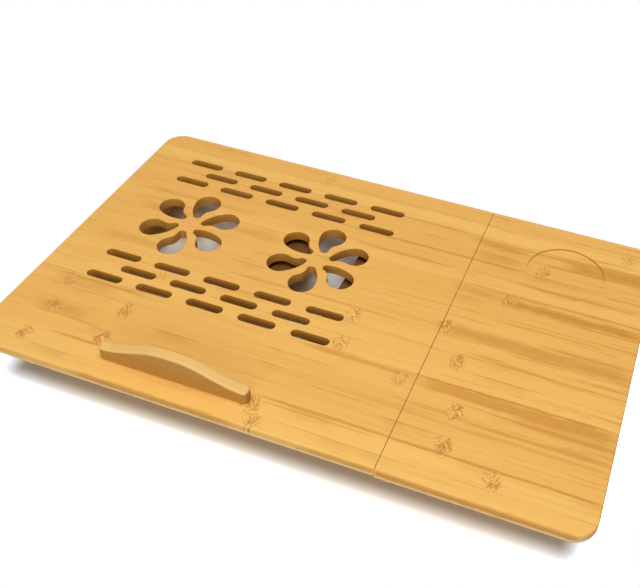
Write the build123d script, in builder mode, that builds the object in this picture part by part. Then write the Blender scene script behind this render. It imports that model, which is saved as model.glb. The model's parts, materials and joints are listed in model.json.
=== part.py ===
from build123d import *

import os

# Folding bamboo laptop table, in millimetres. The frame stands on z = 0 with its legs folded,
# X runs along the table to the drawer end, Y runs to the back and Z is up.

# Table top
top_length = 550.0
top_depth = 350.0
board_thickness = 10.0
corner_radius = 20.0
board_round = 2.0
underside_round = 1.2
seam_x = 103.0
seam_gap = 0.6
front_setback = 1.0

# Vent slots, two groups of three staggered rows
slot_length = 36.6
slot_width = 9.2
slot_pitch = 52.4
slot_row_pitch = 16.3
slot_long_row = 5
slots_x = -104.8
front_slots_y = -47.3
back_slots_y = 116.2
hole_ease = 0.5

# Flower vents, six comma-shaped petals each
flowers_x = -105.8
flower_pitch = 140.0
flowers_y = 35.0
petal_count = 6
petal_reach = 49.4
petal_hub = 11.0
petal_bulb_radius = 12.9
petal_tail_radius = 4.0
petal_back_radius = 37.6
petal_waist_radius = 12.0
petal_bulb_offset = 0.8
petal_tail_offset = 0.4

# Cup recess
cup_x = 192.8
cup_y = 106.8
cup_radius = 37.8
cup_depth = 1.5

# Stop bar
stop_bar_x = -85.0
stop_bar_inset = 21.0
stop_bar_length = 139.0
stop_bar_thickness = 10.5
stop_bar_end_height = 13.0
stop_bar_peak_height = 27.0
stop_bar_peak_half = 16.0
stop_bar_shoulder_half = 47.0
stop_bar_shoulder_rise = 3.5
stop_bar_crown_drop = 1.1
stop_bar_round = 2.2
stop_bar_end_radius = 4.0
peg_radius = 3.0
peg_pitch = 90.0
peg_bar_depth = 8.0
peg_depth = 7.0
peg_clearance = 0.08
peg_end_gap = 0.3
peg_chamfer = 0.6

# Frame
frame_height = 48.0
rail_thickness = 12.0
front_overhang = 34.0
back_overhang = 8.0
end_overhang = 12.0
rail_ease = 1.0
inner_rail_right_x = 4.0
inner_rail_height = 42.0
batten_width = 40.0
batten_thickness = 8.0

# Screws, dowels and brads
frame_screw_length = 32.0
frame_screw_radius = 1.75
frame_screw_head_radius = 3.5
panel_screw_length = 16.0
batten_screw_pitch = 45.0
leaf_screw_length = 8.0
leaf_screw_radius = 1.3
leaf_screw_head_radius = 2.4
head_angle = 90.0
screw_fit = 0.03
recess_length_ratio = 1.3
recess_width_ratio = 0.25
recess_depth_ratio = 0.5
frame_screw_pitch = 20.0
dowel_radius = 3.0
dowel_length = 16.0
dowel_end_gap = 0.3
dowel_chamfer = 0.6
dowel_from_seam = 50.0
dowel_from_end = 25.0
brad_radius = 0.6
brad_length = 15.0
brad_end_gap = 1.0

# Leg frames
leg_rail_gap = 14.4
leg_height = 20.0
leg_width = 16.8
leg_floor_gap = 1.0
leg_end_gap = 0.6
leg_ease = 1.5
pad_thickness = 3.0
stretcher_reach = 130.0
stretcher_width = 34.0
stretcher_thickness = 9.0
bolt_radius = 3.0
bolt_fit = 0.05
bolt_head_radius = 5.5
bolt_head_height = 3.0
bolt_head_taper = 12.0
bolt_socket_radius = 2.1
bolt_socket_depth = 1.8
washer_radius = 7.0
washer_thickness = 1.0
side_play = 0.1
nut_across_flats = 10.0
nut_thickness = 5.0
bolt_tip = 1.5

# Hinges
pin_radius = 1.2
pin_fit = 0.05
knuckle_radius = 2.5
knuckle_gap = 0.2
knuckle_count = 5
leaf_thickness = 1.2
leaf_standoff = 2.8
leaf_relief = 0.4
leaf_corner = 2.0
tilt_leaf_length = 50.0
tilt_leaf_width = 20.0
tilt_screw_pitch = 17.0
tilt_screw_reach = 12.0
tilt_hinge_end_inset = 40.0
tilt_hinge_seam_inset = 65.0
prop_leaf_length = 24.0
prop_leaf_width = 15.0
prop_screw_pitch = 13.0
prop_screw_reach = 9.0
prop_hinge_pitch = 40.0

# Prop and notched rack
prop_x = -86.0
prop_width = 66.0
prop_thickness = 9.0
prop_length = 109.0
prop_radius_arm = 132.0
prop_corner = 8.0
prop_foot_flat = 0.4
rack_x = -98.0
rack_width = 40.0
rack_thickness = 9.0
rack_gap = 2.4
notch_radius = 5.0
notch_depth = 4.0
notch_pitch = 12.0
notch_count = 4
first_notch_y = 44.0

# Drawer
drawer_side_play = 0.5
drawer_back_gap = 2.0
drawer_top_gap = 0.8
runner_web = 8.0
runner_ledge = 8.0
ledge_thickness = 3.0
runner_floor = 11.5
runner_bolt_gap = 3.5
ledge_play = 0.3
drawer_front_thickness = 12.0
drawer_lap_depth = 6.0
drawer_wall = 9.0
drawer_floor_thickness = 4.0
drawer_groove_depth = 4.0
drawer_floor_rise = 1.5
drawer_floor_play = 0.1
knob_base_radius = 5.8
knob_neck_radius = 4.5
knob_neck_at = 3.2
knob_radius = 9.0
knob_widest_at = 7.6
knob_rim_radius = 6.8
knob_rim_at = 10.2
knob_length = 11.0
knob_screw_length = 18.0
knob_screw_gap = 0.5

# Places that follow from the sizes above
left_x = -top_length / 2
right_x = top_length / 2
front_y = -top_depth / 2
back_y = top_depth / 2
stop_bar_front_y = front_y + stop_bar_inset
board_z = frame_height
top_z = frame_height + board_thickness
rail_front_y = front_y + front_overhang
rail_back_y = back_y - back_overhang
rail_inner_front_y = rail_front_y + rail_thickness
rail_inner_back_y = rail_back_y - rail_thickness
frame_right_x = right_x - end_overhang
frame_inner_x = frame_right_x - rail_thickness
panel_right_x = seam_x - seam_gap / 2
inner_rail_x = inner_rail_right_x - rail_thickness / 2
tilt_axis_y = rail_front_y - leaf_standoff
tilt_axis_z = board_z - leaf_standoff
prop_axis_y = tilt_axis_y + prop_radius_arm
prop_axis_z = board_z - leaf_standoff
prop_top_z = prop_axis_z - leaf_standoff
prop_bottom_z = prop_top_z - prop_thickness
rack_top_z = prop_bottom_z - rack_gap
rack_z = rack_top_z - rack_thickness / 2
batten_z = board_z - batten_thickness
pivot_x = frame_inner_x - leg_height / 2 - leg_end_gap
pivot_z = leg_floor_gap + leg_height / 2
leg_outer_inset = rail_thickness + washer_thickness + side_play
leg_inset = leg_outer_inset + leg_width / 2
leg_inner_inset = leg_outer_inset + leg_width
leg_reach = pivot_x + inner_rail_x - rail_thickness / 2 - leg_rail_gap
nut_inset = leg_inner_inset + side_play + washer_thickness
bolt_length = nut_inset + nut_thickness + bolt_tip
drawer_bottom_z = runner_floor + ledge_thickness + ledge_play
drawer_top_z = batten_z - drawer_top_gap
drawer_back_x = inner_rail_right_x + drawer_back_gap
web_inner_y = -(rail_front_y + bolt_length) - runner_bolt_gap - runner_web
drawer_width = (web_inner_y - drawer_side_play) * 2


def save(piece, name):
    """Label a finished piece and write it as its own STEP file."""
    piece.part.label = name
    export_step(piece.part, f"parts/{name}.step")


def box_between(low, high, mode=Mode.ADD):
    """Box from its lowest to its highest corner, for the block that is open."""
    size = Vector(*high) - Vector(*low)
    with Locations(Vector(*low) + size / 2):
        Box(size.X, size.Y, size.Z, mode=mode)


def facing(points, rotation):
    """Places on a face, each with its Z axis along the face's outward normal."""
    return [Location(point, rotation) for point in points]


def from_rail(end, inset):
    """Y at a distance inwards from the outer face of the front (-1) or the back (1) rail."""
    return rail_back_y - inset if end > 0 else rail_front_y + inset


def make_screw(length, radius, head_radius):
    """Countersunk screw with its head flush at z = 0 and its point below."""
    head_height = head_radius - radius
    with BuildPart() as screw:
        with BuildSketch(Plane.XZ):
            with BuildLine():
                Polyline(
                    (0, 0), (head_radius, 0), (radius, -head_height),
                    (radius, radius - length), (0, -length), close=True,
                )
            make_face()
        revolve(axis=Axis.Z)
        with BuildSketch():
            Rectangle(head_radius * recess_length_ratio, head_radius * recess_width_ratio)
            Rectangle(head_radius * recess_width_ratio, head_radius * recess_length_ratio)
        extrude(amount=-head_height * recess_depth_ratio, mode=Mode.SUBTRACT)
    return screw.part


def screw_holes(spots, screw_size):
    """Countersunk holes for the screws of make_screw, in the part that is open."""
    length, radius, head_radius = screw_size
    with Locations(*spots):
        CounterSinkHole(radius + screw_fit, head_radius + screw_fit, length + screw_fit * 2, head_angle)


frame_screw_size = (frame_screw_length, frame_screw_radius, frame_screw_head_radius)
panel_screw_size = (panel_screw_length, frame_screw_radius, frame_screw_head_radius)
knob_screw_size = (knob_screw_length, frame_screw_radius, frame_screw_head_radius)
leaf_screw_size = (leaf_screw_length, leaf_screw_radius, leaf_screw_head_radius)
frame_screw = make_screw(*frame_screw_size)
panel_screw = make_screw(*panel_screw_size)
leaf_screw = make_screw(*leaf_screw_size)

front_facing = (90, 0, 0)
back_facing = (-90, 0, 0)
up_facing = (0, 0, 0)
down_facing = (180, 0, 0)
left_facing = (0, -90, 0)

# Where the frame's screws go through the long rails
end_rail_x = frame_right_x - rail_thickness / 2
rail_screw_xz = [
    (x, frame_height / 2 + side * frame_screw_pitch / 2)
    for x in (-end_rail_x, inner_rail_x, end_rail_x)
    for side in (-1, 1)
]
rail_screw_xz += [(rack_x + side * rack_width / 4, rack_z) for side in (-1, 1)]
rail_screw_xz += [(seam_x + side * batten_width / 4, board_z - batten_thickness / 2) for side in (-1, 1)]
front_rail_spots = facing([(x, rail_front_y, z) for x, z in rail_screw_xz], front_facing)
back_rail_spots = facing([(x, rail_back_y, z) for x, z in rail_screw_xz], back_facing)
frame_screw_spots = front_rail_spots + back_rail_spots

# Dowels that hold the fixed panel on the frame
dowel_spots = [
    (x, from_rail(end, rail_thickness / 2), board_z)
    for x in (seam_x + dowel_from_seam, frame_inner_x - dowel_from_end)
    for end in (-1, 1)
]
dowel_spots += [(end_rail_x, side * drawer_width / 4, board_z) for side in (-1, 1)]

# Screws that hold the fixed panel to the batten from below
batten_screw_x = seam_x + batten_width / 4
batten_screw_ys = [step * batten_screw_pitch for step in (-1.5, -0.5, 0.5, 1.5)]
panel_screw_spots = facing(
    [(batten_screw_x, y, batten_z) for y in batten_screw_ys],
    down_facing,
)

# Screws that hold the runners up to the batten
runner_y = web_inner_y + runner_web / 2
runner_screw_spots = facing(
    [(seam_x + step * batten_width / 4, side * runner_y, board_z) for step in (-1, 1) for side in (-1, 1)],
    up_facing,
)

peg_y = stop_bar_front_y + stop_bar_thickness / 2
peg_spots = [(stop_bar_x + side * peg_pitch / 2, peg_y) for side in (-1, 1)]

# Hinge screws: three in a leaf of the tilt hinges, two in a leaf of the prop's
screws_in_leaf = [-1, 0, 1]
tilt_hinge_centers = (tilt_hinge_end_inset - frame_right_x, seam_x - tilt_hinge_seam_inset)
prop_hinge_centers = (prop_x - prop_hinge_pitch / 2, prop_x + prop_hinge_pitch / 2)
tilt_screw_x = [x + step * tilt_screw_pitch for x in tilt_hinge_centers for step in screws_in_leaf]
prop_screw_x = [x + side * prop_screw_pitch / 2 for x in prop_hinge_centers for side in (-1, 1)]
rail_leaf_spots = facing(
    [(x, rail_front_y - leaf_thickness, tilt_axis_z - tilt_screw_reach) for x in tilt_screw_x], front_facing
)
under_leaf_z = board_z - leaf_thickness
panel_leaf_spots = facing(
    [(x, tilt_axis_y - tilt_screw_reach, under_leaf_z) for x in tilt_screw_x]
    + [(x, prop_axis_y + prop_screw_reach, under_leaf_z) for x in prop_screw_x],
    down_facing,
)
prop_leaf_spots = facing(
    [(x, prop_axis_y + prop_screw_reach, prop_top_z + leaf_thickness) for x in prop_screw_x], up_facing
)


def long_rail(end, spots, leaf_spots):
    """Front rail for end = -1 and back rail for end = 1."""
    with BuildPart() as rail:
        faces_y = (from_rail(end, 0), from_rail(end, rail_thickness))
        box_between((-frame_right_x, min(faces_y), 0), (frame_right_x, max(faces_y), frame_height))
        outer_face = rail.faces().sort_by(Axis.Y)[0 if end < 0 else -1]
        lower_edge = outer_face.edges().sort_by(Axis.Z)[0]
        fillet([lower_edge] + outer_face.edges().filter_by(Axis.Z), rail_ease)
        screw_holes(spots, frame_screw_size)
        if leaf_spots:
            screw_holes(leaf_spots, leaf_screw_size)
        with BuildSketch(Plane.XZ.offset(-from_rail(end, -1))):
            with Locations(*[(side * pivot_x, pivot_z) for side in (-1, 1)]):
                Circle(bolt_radius + bolt_fit)
        extrude(amount=end * (rail_thickness + 2), mode=Mode.SUBTRACT)
        with Locations(*[spot for spot in dowel_spots if spot[1] == from_rail(end, rail_thickness / 2)]):
            Hole(dowel_radius + screw_fit, depth=dowel_length / 2 + dowel_end_gap)
    return rail


front_rail = long_rail(-1, front_rail_spots, rail_leaf_spots)
back_rail = long_rail(1, back_rail_spots, [])

with BuildPart() as left_end_rail:
    box_between((-frame_right_x, rail_inner_front_y, 0), (-frame_inner_x, rail_inner_back_y, frame_height))
    lower_edge = left_end_rail.faces().sort_by(Axis.X)[0].edges().sort_by(Axis.Z)[0]
    fillet(lower_edge, rail_ease)
    screw_holes(frame_screw_spots, frame_screw_size)

with BuildPart() as right_end_rail:
    box_between((frame_inner_x, rail_inner_front_y, 0), (frame_right_x, rail_inner_back_y, frame_height))
    lower_edge = right_end_rail.faces().sort_by(Axis.X)[-1].edges().sort_by(Axis.Z)[0]
    fillet(lower_edge, rail_ease)
    with Locations((frame_right_x, 0, (runner_floor + batten_z) / 2)):
        Box(rail_thickness * 2, web_inner_y * 2, batten_z - runner_floor, mode=Mode.SUBTRACT)
    screw_holes(frame_screw_spots, frame_screw_size)
    with Locations(*[spot for spot in dowel_spots if spot[0] == end_rail_x]):
        Hole(dowel_radius + screw_fit, depth=batten_thickness)

with BuildPart() as inner_rail:
    box_between(
        (inner_rail_right_x - rail_thickness, rail_inner_front_y, 0),
        (inner_rail_right_x, rail_inner_back_y, inner_rail_height),
    )
    screw_holes(frame_screw_spots, frame_screw_size)

with BuildPart() as seam_batten:
    box_between(
        (seam_x - batten_width / 2, rail_inner_front_y, batten_z),
        (seam_x + batten_width / 2, rail_inner_back_y, board_z),
    )
    screw_holes(frame_screw_spots, frame_screw_size)
    screw_holes(panel_screw_spots, panel_screw_size)
    screw_holes(runner_screw_spots, frame_screw_size)


def runner(end):
    """L-shaped drawer runner on the front (-1) or the back (1) side."""
    with BuildPart() as piece:
        with BuildSketch(Plane.YZ.offset(inner_rail_right_x)):
            with BuildLine():
                Polyline(
                    (end * (web_inner_y + runner_web), runner_floor),
                    (end * (web_inner_y - runner_ledge), runner_floor),
                    (end * (web_inner_y - runner_ledge), runner_floor + ledge_thickness),
                    (end * web_inner_y, runner_floor + ledge_thickness),
                    (end * web_inner_y, batten_z),
                    (end * (web_inner_y + runner_web), batten_z),
                    close=True,
                )
            make_face()
        extrude(amount=frame_inner_x - inner_rail_right_x)
        screw_holes(runner_screw_spots, frame_screw_size)
    return piece


front_runner = runner(-1)
back_runner = runner(1)

with BuildPart() as rack_board:
    box_between(
        (rack_x - rack_width / 2, rail_inner_front_y, rack_top_z - rack_thickness),
        (rack_x + rack_width / 2, rail_inner_back_y, rack_top_z),
    )
    with BuildSketch(Plane.YZ.offset(rack_x - rack_width / 2 - 1)):
        for notch in range(notch_count):
            with Locations((first_notch_y + notch * notch_pitch, rack_top_z + notch_radius - notch_depth)):
                Circle(notch_radius)
    extrude(amount=rack_width + 2, mode=Mode.SUBTRACT)
    screw_holes(frame_screw_spots, frame_screw_size)


def touching_center(near, near_distance, far, far_distance):
    """Point at two distances from two centres, on the right of the line from near to far."""
    along = far - near
    step = (near_distance**2 - far_distance**2 + along.length**2) / (2 * along.length)
    aside = (near_distance**2 - step**2) ** 0.5
    direction = along.normalized()
    return near + direction * step + Vector(-direction.Y, direction.X) * aside


def petal_face():
    """Comma-shaped petal pointing to +Y, drawn with four tangent arcs round the flower's centre."""
    bulb = Vector(petal_bulb_offset, petal_reach - petal_bulb_radius)
    tail = Vector(petal_tail_offset, petal_hub + petal_tail_radius)
    back = touching_center(
        bulb, petal_back_radius - petal_bulb_radius, tail, petal_back_radius - petal_tail_radius
    )
    waist = touching_center(
        bulb, petal_waist_radius + petal_bulb_radius, tail, petal_waist_radius + petal_tail_radius
    )
    bulb_back = back + (bulb - back).normalized() * petal_back_radius
    tail_back = back + (tail - back).normalized() * petal_back_radius
    bulb_waist = waist + (bulb - waist).normalized() * petal_waist_radius
    tail_waist = waist + (tail - waist).normalized() * petal_waist_radius
    back_middle = back + ((bulb_back + tail_back) / 2 - back).normalized() * petal_back_radius
    waist_middle = waist + ((bulb_waist + tail_waist) / 2 - waist).normalized() * petal_waist_radius
    with BuildSketch() as petal:
        with BuildLine():
            ThreePointArc(bulb_back, bulb + Vector(0, petal_bulb_radius), bulb_waist)
            ThreePointArc(bulb_waist, waist_middle, tail_waist)
            ThreePointArc(tail_waist, tail - Vector(0, petal_tail_radius), tail_back)
            ThreePointArc(tail_back, back_middle, bulb_back)
        make_face()
    return petal.sketch


def ease_holes(board):
    """Small chamfer round every opening in a board's top face."""
    top_face = board.faces().sort_by(Axis.Z)[-1]
    chamfer([edge for wire in top_face.inner_wires() for edge in wire.edges()], hole_ease)


def round_board(board, seam_at):
    """Round a board's outer edges, apart from the edge along the seam."""
    for pick, radius in ((-1, board_round), (0, underside_round)):
        face = board.faces().sort_by(Axis.Z)[pick]
        fillet([edge for edge in face.edges() if abs(edge.center().X - seam_at) > board_round], radius)


petal = petal_face()

with BuildPart() as tilting_panel:
    with BuildSketch(Plane.XY.offset(board_z)) as outline:
        with Locations(((left_x + panel_right_x) / 2, front_setback / 2)):
            Rectangle(panel_right_x - left_x, top_depth - front_setback)
        fillet(outline.vertices().group_by(Axis.X)[0], corner_radius)
    extrude(amount=board_thickness)
    round_board(tilting_panel, panel_right_x)
    with BuildSketch(Plane.XY.offset(board_z)):
        for rows_y in (front_slots_y, back_slots_y):
            with Locations((slots_x, rows_y)):
                with GridLocations(slot_pitch, slot_row_pitch * 2, slot_long_row, 2):
                    SlotOverall(slot_length, slot_width)
                with GridLocations(slot_pitch, slot_row_pitch, slot_long_row - 1, 1):
                    SlotOverall(slot_length, slot_width)
        for side in (-1, 1):
            with Locations((flowers_x + side * flower_pitch / 2, flowers_y)):
                with PolarLocations(0, petal_count):
                    add(petal)
    extrude(amount=board_thickness, mode=Mode.SUBTRACT)
    ease_holes(tilting_panel)
    with Locations(*[(x, y, top_z) for x, y in peg_spots]):
        Hole(peg_radius + peg_clearance, depth=peg_depth + peg_end_gap)
    screw_holes(panel_leaf_spots, leaf_screw_size)

with BuildPart() as fixed_panel:
    fixed_left_x = panel_right_x + seam_gap
    with BuildSketch(Plane.XY.offset(board_z)) as outline:
        with Locations(((fixed_left_x + right_x) / 2, 0)):
            Rectangle(right_x - fixed_left_x, top_depth)
        fillet(outline.vertices().group_by(Axis.X)[-1], corner_radius)
    extrude(amount=board_thickness)
    round_board(fixed_panel, fixed_left_x)
    with BuildSketch(Plane.XY.offset(top_z)):
        with Locations((cup_x, cup_y)):
            Circle(cup_radius)
    extrude(amount=-cup_depth, mode=Mode.SUBTRACT)
    with Locations(*[Location(spot, down_facing) for spot in dowel_spots]):
        Hole(dowel_radius + screw_fit, depth=dowel_length / 2 + dowel_end_gap)
    screw_holes(panel_screw_spots, panel_screw_size)

# Fasteners of the frame
with BuildPart() as frame_screws:
    with Locations(*frame_screw_spots):
        add(frame_screw)
with BuildPart() as runner_screws:
    with Locations(*runner_screw_spots):
        add(frame_screw)
with BuildPart() as panel_screws:
    with Locations(*panel_screw_spots):
        add(panel_screw)
with BuildPart() as panel_dowels:
    with Locations(*dowel_spots):
        Cylinder(dowel_radius, dowel_length)
    dowel_ends = panel_dowels.edges().filter_by(GeomType.CIRCLE)
    chamfer(dowel_ends, dowel_chamfer)
with BuildPart() as rail_hinge_screws:
    with Locations(*rail_leaf_spots):
        add(leaf_screw)
with BuildPart() as panel_hinge_screws:
    with Locations(*panel_leaf_spots):
        add(leaf_screw)
with BuildPart() as prop_hinge_screws:
    with Locations(*prop_leaf_spots):
        add(leaf_screw)


def hinge_leaves(plane, centers, length, width, screw_reach, screw_steps, has_outer_knuckles):
    """Leaves of identical butt hinges on one pin line.

    The plane's origin is on the pin line, its X axis lies along the pin, its Y axis points
    along the leaf and its Z axis points to the face that the leaf is screwed to.
    """
    knuckle_length = length / knuckle_count
    own = [k for k in range(knuckle_count) if (k % 2 == 0) == has_outer_knuckles]
    with BuildPart() as leaves:
        for center in centers:
            offset = (center - plane.origin.X) * plane.x_dir.X
            with BuildSketch(plane.offset(leaf_standoff - leaf_thickness)):
                with Locations((offset, width / 2)):
                    RectangleRounded(length, width, leaf_corner)
                with Locations((offset, width / 4)):
                    Rectangle(length, width / 2)
                for k in range(knuckle_count):
                    if k not in own:
                        middle = offset + (k + 0.5) * knuckle_length - length / 2
                        with Locations((middle, 0)):
                            Rectangle(
                                knuckle_length + knuckle_gap,
                                (knuckle_radius + leaf_relief) * 2,
                                mode=Mode.SUBTRACT,
                            )
            extrude(amount=leaf_thickness)
            for k in own:
                start = offset + k * knuckle_length - length / 2 + knuckle_gap / 2
                spot = plane.from_local_coords((start, 0, 0))
                with BuildSketch(Plane(spot, x_dir=plane.z_dir, z_dir=plane.x_dir)):
                    Circle(knuckle_radius)
                extrude(amount=knuckle_length - knuckle_gap)
            spot = plane.from_local_coords((offset - length, 0, 0))
            with BuildSketch(Plane(spot, x_dir=plane.z_dir, z_dir=plane.x_dir)):
                Circle(pin_radius + pin_fit)
            extrude(amount=length * 2, mode=Mode.SUBTRACT)
            face = plane.offset(leaf_standoff - leaf_thickness)
            for step in screw_steps:
                spot = face.from_local_coords((offset + step, screw_reach, 0))
                with Locations(Location(Plane(spot, x_dir=plane.x_dir, z_dir=-plane.z_dir))):
                    CounterSinkHole(
                        leaf_screw_radius + screw_fit, leaf_screw_head_radius + screw_fit,
                        leaf_thickness * 2, head_angle,
                    )
    return leaves


def hinge_pins(axis_y, axis_z, centers, length):
    """Round pins of a row of hinges."""
    with BuildPart() as pins:
        for center in centers:
            with BuildSketch(Plane.YZ.offset(center - length / 2)):
                with Locations((axis_y, axis_z)):
                    Circle(pin_radius)
            extrude(amount=length)
    return pins


tilt_origin = (0, tilt_axis_y, tilt_axis_z)
prop_origin = (0, prop_axis_y, prop_axis_z)
tilt_steps = [step * tilt_screw_pitch for step in screws_in_leaf]
prop_steps = [side * prop_screw_pitch / 2 for side in (-1, 1)]

tilt_hinge_rail_leaves = hinge_leaves(
    Plane(tilt_origin, x_dir=(1, 0, 0), z_dir=(0, 1, 0)), tilt_hinge_centers,
    tilt_leaf_length, tilt_leaf_width, tilt_screw_reach, tilt_steps, True,
)
tilt_hinge_panel_leaves = hinge_leaves(
    Plane(tilt_origin, x_dir=(-1, 0, 0), z_dir=(0, 0, 1)), tilt_hinge_centers,
    tilt_leaf_length, tilt_leaf_width, tilt_screw_reach, tilt_steps, False,
)
tilt_hinge_pins = hinge_pins(tilt_axis_y, tilt_axis_z, tilt_hinge_centers, tilt_leaf_length)
prop_hinge_panel_leaves = hinge_leaves(
    Plane(prop_origin, x_dir=(1, 0, 0), z_dir=(0, 0, 1)), prop_hinge_centers,
    prop_leaf_length, prop_leaf_width, prop_screw_reach, prop_steps, True,
)
prop_hinge_prop_leaves = hinge_leaves(
    Plane(prop_origin, x_dir=(-1, 0, 0), z_dir=(0, 0, -1)), prop_hinge_centers,
    prop_leaf_length, prop_leaf_width, prop_screw_reach, prop_steps, False,
)
prop_hinge_pins = hinge_pins(prop_axis_y, prop_axis_z, prop_hinge_centers, prop_leaf_length)

with BuildPart() as prop_board:
    prop_start_y = prop_axis_y + knuckle_radius + leaf_relief
    prop_end_y = prop_axis_y + prop_length
    box_between(
        (prop_x - prop_width / 2, prop_start_y, prop_bottom_z),
        (prop_x + prop_width / 2, prop_end_y, prop_top_z),
    )
    end_face = prop_board.faces().sort_by(Axis.Y)[-1]
    fillet(end_face.edges().filter_by(Axis.Z), prop_corner)
    foot = prop_board.faces().filter_by(Axis.Y).sort_by(Axis.Y)[-1]
    fillet(foot.edges().filter_by(Axis.X), (prop_thickness - prop_foot_flat) / 2)
    screw_holes(prop_leaf_spots, leaf_screw_size)

# Stop bar, a low hill with eased shoulders
with BuildPart() as stop_bar:
    half = stop_bar_length / 2
    shoulder_height = stop_bar_end_height + stop_bar_shoulder_rise
    crown_height = stop_bar_peak_height - stop_bar_crown_drop
    with BuildSketch(Plane((stop_bar_x, stop_bar_front_y, top_z), x_dir=(1, 0, 0), z_dir=(0, -1, 0))):
        with BuildLine():
            Polyline((-half, stop_bar_end_height), (-half, 0), (half, 0), (half, stop_bar_end_height))
            Spline(
                (half, stop_bar_end_height),
                (stop_bar_shoulder_half, shoulder_height),
                (stop_bar_peak_half, crown_height),
                (0, stop_bar_peak_height),
                (-stop_bar_peak_half, crown_height),
                (-stop_bar_shoulder_half, shoulder_height),
                (-half, stop_bar_end_height),
            )
        make_face()
    extrude(amount=-stop_bar_thickness)
    fillet(stop_bar.edges().filter_by(Axis.Z), stop_bar_end_radius)
    upper = stop_bar.edges().filter_by(lambda edge: edge.center().Z > top_z + stop_bar_end_height / 2)
    fillet(upper.filter_by(Axis.Z, reverse=True), stop_bar_round)
    with Locations(*[Location((x, y, top_z), down_facing) for x, y in peg_spots]):
        Hole(peg_radius + screw_fit, depth=peg_bar_depth + peg_end_gap)

with BuildPart() as stop_bar_pegs:
    for x, y in peg_spots:
        with BuildSketch(Plane.XY.offset(top_z - peg_depth)):
            with Locations((x, y)):
                Circle(peg_radius)
        extrude(amount=peg_depth + peg_bar_depth)
    chamfer(stop_bar_pegs.edges().filter_by(GeomType.CIRCLE), peg_chamfer)

# Drawer
front_face_x = frame_right_x
front_inner_x = front_face_x - drawer_front_thickness
side_outer_y = drawer_width / 2
side_inner_y = side_outer_y - drawer_wall
floor_z = drawer_bottom_z + drawer_floor_rise
floor_top_z = floor_z + drawer_floor_thickness
groove_y = side_inner_y + drawer_groove_depth
drawer_middle_z = (drawer_bottom_z + drawer_top_z) / 2


def cut_floor_groove():
    """Groove for the drawer's floor, all round."""
    box_between(
        (drawer_back_x + drawer_wall - drawer_groove_depth, -groove_y, floor_z - drawer_floor_play),
        (front_inner_x + drawer_groove_depth, groove_y, floor_top_z + drawer_floor_play),
        Mode.SUBTRACT,
    )


brad_spots = [
    Location((x, end * side_outer_y, z), front_facing if end < 0 else back_facing)
    for x in (drawer_back_x + drawer_wall / 2, front_inner_x + drawer_lap_depth / 2)
    for z in (floor_top_z + drawer_wall / 2, drawer_top_z - drawer_wall / 2)
    for end in (-1, 1)
]

knob_screw_spots = facing([(front_inner_x, 0, drawer_middle_z)], left_facing)


def drill_for_brads():
    """Holes for the brads, in the drawer part that is open."""
    with Locations(*brad_spots):
        Hole(brad_radius + screw_fit, depth=brad_length + brad_end_gap)


with BuildPart() as drawer_front:
    box_between(
        (front_inner_x, -side_outer_y, drawer_bottom_z), (front_face_x, side_outer_y, drawer_top_z)
    )
    cut_floor_groove()
    for end in (-1, 1):
        with Locations((front_inner_x, end * (side_outer_y - drawer_wall / 2), drawer_middle_z)):
            Box(drawer_lap_depth * 2, drawer_wall, drawer_top_z - drawer_bottom_z, mode=Mode.SUBTRACT)
    screw_holes(knob_screw_spots, knob_screw_size)
    drill_for_brads()
    outer = drawer_front.faces().sort_by(Axis.X)[-1]
    fillet(outer.outer_wire().edges(), rail_ease)


def drawer_side(end):
    """Drawer side, lapped into the front, on the front (-1) or the back (1)."""
    with BuildPart() as side:
        low_y = min(end * side_inner_y, end * side_outer_y)
        box_between(
            (drawer_back_x, low_y, drawer_bottom_z),
            (front_inner_x + drawer_lap_depth, low_y + drawer_wall, drawer_top_z),
        )
        cut_floor_groove()
        drill_for_brads()
    return side


drawer_front_side = drawer_side(-1)
drawer_back_side = drawer_side(1)

with BuildPart() as drawer_back:
    box_between(
        (drawer_back_x, -side_inner_y, drawer_bottom_z),
        (drawer_back_x + drawer_wall, side_inner_y, drawer_top_z),
    )
    cut_floor_groove()
    drill_for_brads()

with BuildPart() as drawer_floor:
    inset = drawer_groove_depth - drawer_floor_play
    box_between(
        (drawer_back_x + drawer_wall - inset, -side_inner_y - inset, floor_z),
        (front_inner_x + inset, side_inner_y + inset, floor_top_z),
    )

with BuildPart() as drawer_brads:
    with Locations(*brad_spots):
        Cylinder(brad_radius, brad_length, align=(Align.CENTER, Align.CENTER, Align.MAX))

with BuildPart() as drawer_knob:
    knob_origin = (front_face_x, 0, drawer_middle_z)
    with BuildSketch(Plane(knob_origin, x_dir=(1, 0, 0), z_dir=(0, -1, 0))):
        with BuildLine():
            Line((0, 0), (0, knob_base_radius))
            Spline(
                (0, knob_base_radius), (knob_neck_at, knob_neck_radius), (knob_widest_at, knob_radius),
                (knob_rim_at, knob_rim_radius), (knob_length, 0),
                tangents=[(3, -2), (0, -1)],
            )
            Line((knob_length, 0), (0, 0))
        make_face()
    revolve(axis=Axis(knob_origin, (1, 0, 0)))
    with Locations(Location(knob_origin, left_facing)):
        hole_depth = knob_screw_length - drawer_front_thickness + knob_screw_gap
        Hole(frame_screw_radius + screw_fit, depth=hole_depth)

with BuildPart() as drawer_knob_screw:
    knob_screw = make_screw(*knob_screw_size)
    with Locations(*knob_screw_spots):
        add(knob_screw)


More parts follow.
